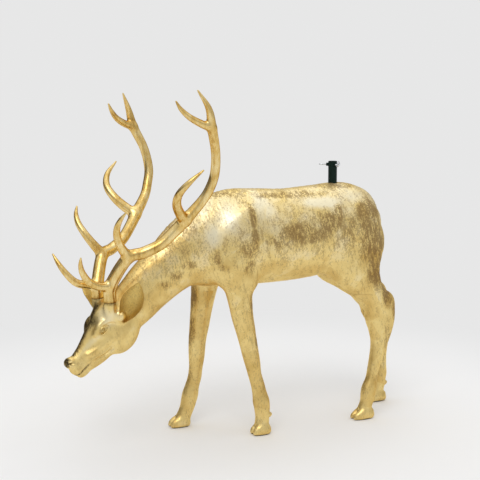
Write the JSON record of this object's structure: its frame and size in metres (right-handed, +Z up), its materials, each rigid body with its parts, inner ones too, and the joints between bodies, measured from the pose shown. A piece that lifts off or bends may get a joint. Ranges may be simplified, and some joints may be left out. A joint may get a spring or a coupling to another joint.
{
  "type": "reindeer statue tree stand",
  "caption": "Life-size gilded grazing reindeer lawn statue with plug-in antlers and a steel socket on its back that clamps a tree pole.",
  "frame": {"origin": "on the floor, under the middle of the bounding box of the whole figure", "axes": "+Z up, along the pole socket; the reindeer looks towards -X and its left side faces -Y"},
  "size_m": [1.6076, 0.6734, 1.4386],
  "materials": {
    "gilded_resin": "antique gold leaf over cast resin, brown wash in the recesses",
    "antler_gold": "smooth deep gold over cast resin",
    "green_steel": "dark green gloss paint",
    "zinc_steel": "bright zinc plate",
    "frame_steel": "black primer",
    "peg_steel": "bright drawn",
    "nylon": "natural nylon",
    "rubber": "black"
  },
  "bodies": {
    "statue": {"front_body_shell": "gilded_resin", "rear_body_shell": "gilded_resin", "neck_shell": "gilded_resin", "head_shell": "gilded_resin", "left_ear": "gilded_resin", "right_ear": "gilded_resin", "tail": "gilded_resin", "left_front_leg": "gilded_resin", "right_front_leg": "gilded_resin", "left_hind_leg": "gilded_resin", "right_hind_leg": "gilded_resin", "foot_pads": "rubber", "left_antler_socket": "peg_steel", "right_antler_socket": "peg_steel", "pole_sleeve": "green_steel", "sleeve_nuts": "green_steel", "spine_beam": "frame_steel", "saddle_plate": "frame_steel", "saddle_clamp": "frame_steel", "sleeve_gussets": "frame_steel", "front_cross_plate": "frame_steel", "rear_cross_plate": "frame_steel", "left_front_rod": "frame_steel", "right_front_rod": "frame_steel", "left_hind_rod": "frame_steel", "right_hind_rod": "frame_steel", "neck_rod": "frame_steel", "head_bulkhead": "frame_steel", "saddle_bolts": "zinc_steel", "saddle_nuts": "zinc_steel"},
    "tip_1": {"screw_tip_1": "nylon"},
    "screw_1": {"eye_screw_1": "zinc_steel"},
    "tip_2": {"screw_tip_2": "nylon"},
    "screw_2": {"eye_screw_2": "zinc_steel"},
    "tip_3": {"screw_tip_3": "nylon"},
    "screw_3": {"eye_screw_3": "zinc_steel"},
    "left_antler_unit": {"left_antler": "antler_gold", "left_antler_peg": "peg_steel"},
    "right_antler_unit": {"right_antler": "antler_gold", "right_antler_peg": "peg_steel"}
  },
  "joints": [
    {"name": "screw_1_travel", "type": "slide", "parent": "statue", "child": "tip_1", "axis": [0.866, -0.5, 0], "range_m": [0, 0.008]},
    {"name": "screw_1_turn", "type": "hinge", "parent": "tip_1", "child": "screw_1", "pos_m": [0.44538, 0.04255, 1.117], "axis": [0.866, -0.5, 0], "range_deg": [0, 2880]},
    {"name": "screw_2_travel", "type": "slide", "parent": "statue", "child": "tip_2", "axis": [-0.866, -0.5, 0], "range_m": [0, 0.008]},
    {"name": "screw_2_turn", "type": "hinge", "parent": "tip_2", "child": "screw_2", "pos_m": [0.44538, 0.04255, 1.117], "axis": [-0.866, -0.5, 0], "range_deg": [0, 2880]},
    {"name": "screw_3_travel", "type": "slide", "parent": "statue", "child": "tip_3", "axis": [0, 1, 0], "range_m": [0, 0.008]},
    {"name": "screw_3_turn", "type": "hinge", "parent": "tip_3", "child": "screw_3", "pos_m": [0.44538, 0.04255, 1.117], "axis": [0, 1, 0], "range_deg": [0, 2880]},
    {"name": "left_antler_lift", "type": "slide", "parent": "statue", "child": "left_antler_unit", "axis": [0, 0, 1], "range_m": [0, 0.07]},
    {"name": "right_antler_lift", "type": "slide", "parent": "statue", "child": "right_antler_unit", "axis": [0, 0, 1], "range_m": [0, 0.07]}
  ],
  "couplings": [
    {"joint": "screw_1_travel", "follows": "screw_1_turn", "m_per_rad": 0.00015915},
    {"joint": "screw_2_travel", "follows": "screw_2_turn", "m_per_rad": 0.00015915},
    {"joint": "screw_3_travel", "follows": "screw_3_turn", "m_per_rad": 0.00015915}
  ]
}
